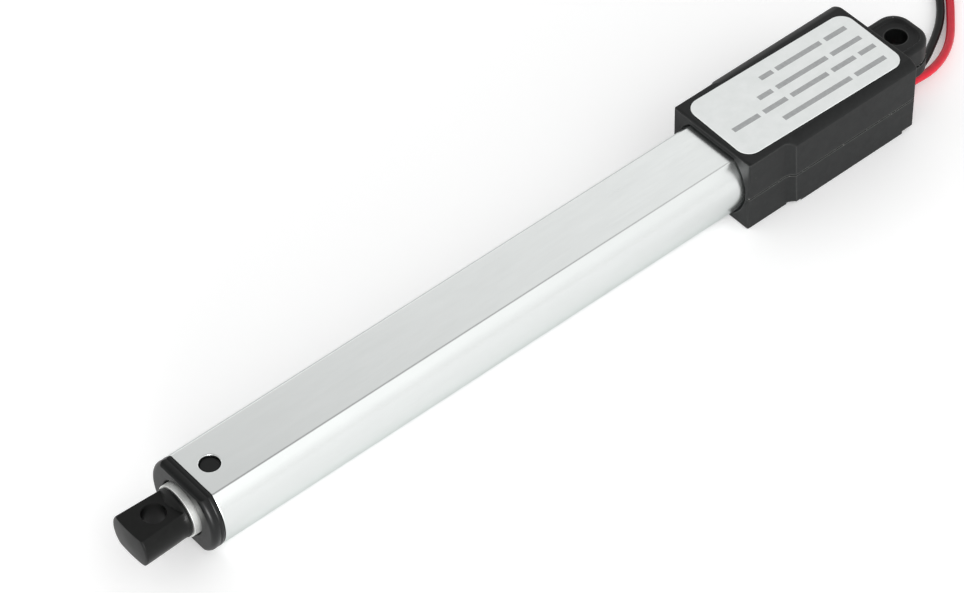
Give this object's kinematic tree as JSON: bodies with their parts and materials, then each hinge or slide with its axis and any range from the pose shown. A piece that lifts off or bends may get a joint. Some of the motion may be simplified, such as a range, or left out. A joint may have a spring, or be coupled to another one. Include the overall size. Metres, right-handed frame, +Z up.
{
  "type": "linear actuator",
  "caption": "Slim in-line electric linear actuator, retracted: black motor housing with rear lug, flat-sided metal tube, front cap, rod end with pin hole and a red and black lead.",
  "frame": {"origin": "middle of the base: half way between the rear lug's end and the rod end's tip, retracted, on the plane of the housing's underside", "axes": "+X along the tube to the rod end, +Y to the side that the leads leave nearer to, +Z up, out of the label"},
  "size_m": [0.2066, 0.0345, 0.0148],
  "materials": {
    "black_plastic": "fine-grained matt, slightly worn edges",
    "gloss_black": "moulded, semi-gloss",
    "aluminium": "satin drawn extrusion with faint scuffs",
    "rod_metal": "turned, finely scuffed",
    "steel": "plain machined",
    "brass": "machined",
    "bronze": "sintered, oily",
    "acetal": "moulded, natural",
    "rubber": "matt",
    "label": "printed film, satin",
    "laminate": "solder-masked board",
    "red_pvc": "soft, semi-gloss",
    "black_pvc": "soft, semi-gloss"
  },
  "bodies": {
    "base": {"housing_upper": "black_plastic", "housing_lower": "black_plastic", "housing_screw_1": "steel", "housing_screw_2": "steel", "housing_screw_3": "steel", "housing_screw_4": "steel", "rating_label": "label", "tube": "aluminium", "front_cap": "gloss_black", "wiper_ring": "rubber", "screw_bush": "bronze", "idler_pin": "steel", "gearbox_plate_rear": "brass", "gearbox_plate_front": "brass", "gearbox_pillar_1": "steel", "gearbox_pillar_2": "steel", "gearbox_pillar_3": "steel", "motor_can": "steel", "motor_end_cap": "black_plastic", "motor_terminal_1": "brass", "motor_terminal_2": "brass", "switch_board": "laminate", "limit_switch_rear": "black_plastic", "limit_switch_front": "black_plastic", "blocking_diode_1": "gloss_black", "blocking_diode_2": "gloss_black", "red_lead": "red_pvc", "black_lead": "black_pvc", "lead_coil": "red_pvc"},
    "rod": {"piston_rod": "rod_metal", "rod_end": "gloss_black", "drive_nut": "acetal"},
    "screw": {"lead_screw": "steel", "thrust_washer": "steel", "shaft_coupler": "brass", "output_shaft": "steel", "output_gear": "brass"},
    "idler": {"idler_gear": "brass"},
    "rotor": {"motor_shaft": "steel", "motor_pinion": "brass"}
  },
  "joints": [
    {"name": "rod_slide", "type": "slide", "parent": "base", "child": "rod", "axis": [1, 0, 0], "range_m": [0, 0.1]},
    {"name": "screw_spin", "type": "hinge", "parent": "base", "child": "screw", "pos_m": [0.0102, 0, 0.00737], "axis": [1, 0, 0], "range_deg": [-9000, 0]},
    {"name": "idler_spin", "type": "hinge", "parent": "base", "child": "idler", "pos_m": [-0.0548, 0.0033, 0.00737], "axis": [1, 0, 0], "range_deg": [0, 18000]},
    {"name": "rotor_spin", "type": "hinge", "parent": "base", "child": "rotor", "pos_m": [-0.0588, 0, 0.00737], "axis": [1, 0, 0], "range_deg": [-45000, 0]}
  ],
  "couplings": [
    {"joint": "screw_spin", "follows": "rod_slide", "rad_per_m": -1570.8},
    {"joint": "idler_spin", "follows": "rod_slide", "rad_per_m": 3141.6},
    {"joint": "rotor_spin", "follows": "rod_slide", "rad_per_m": -7853.9}
  ]
}
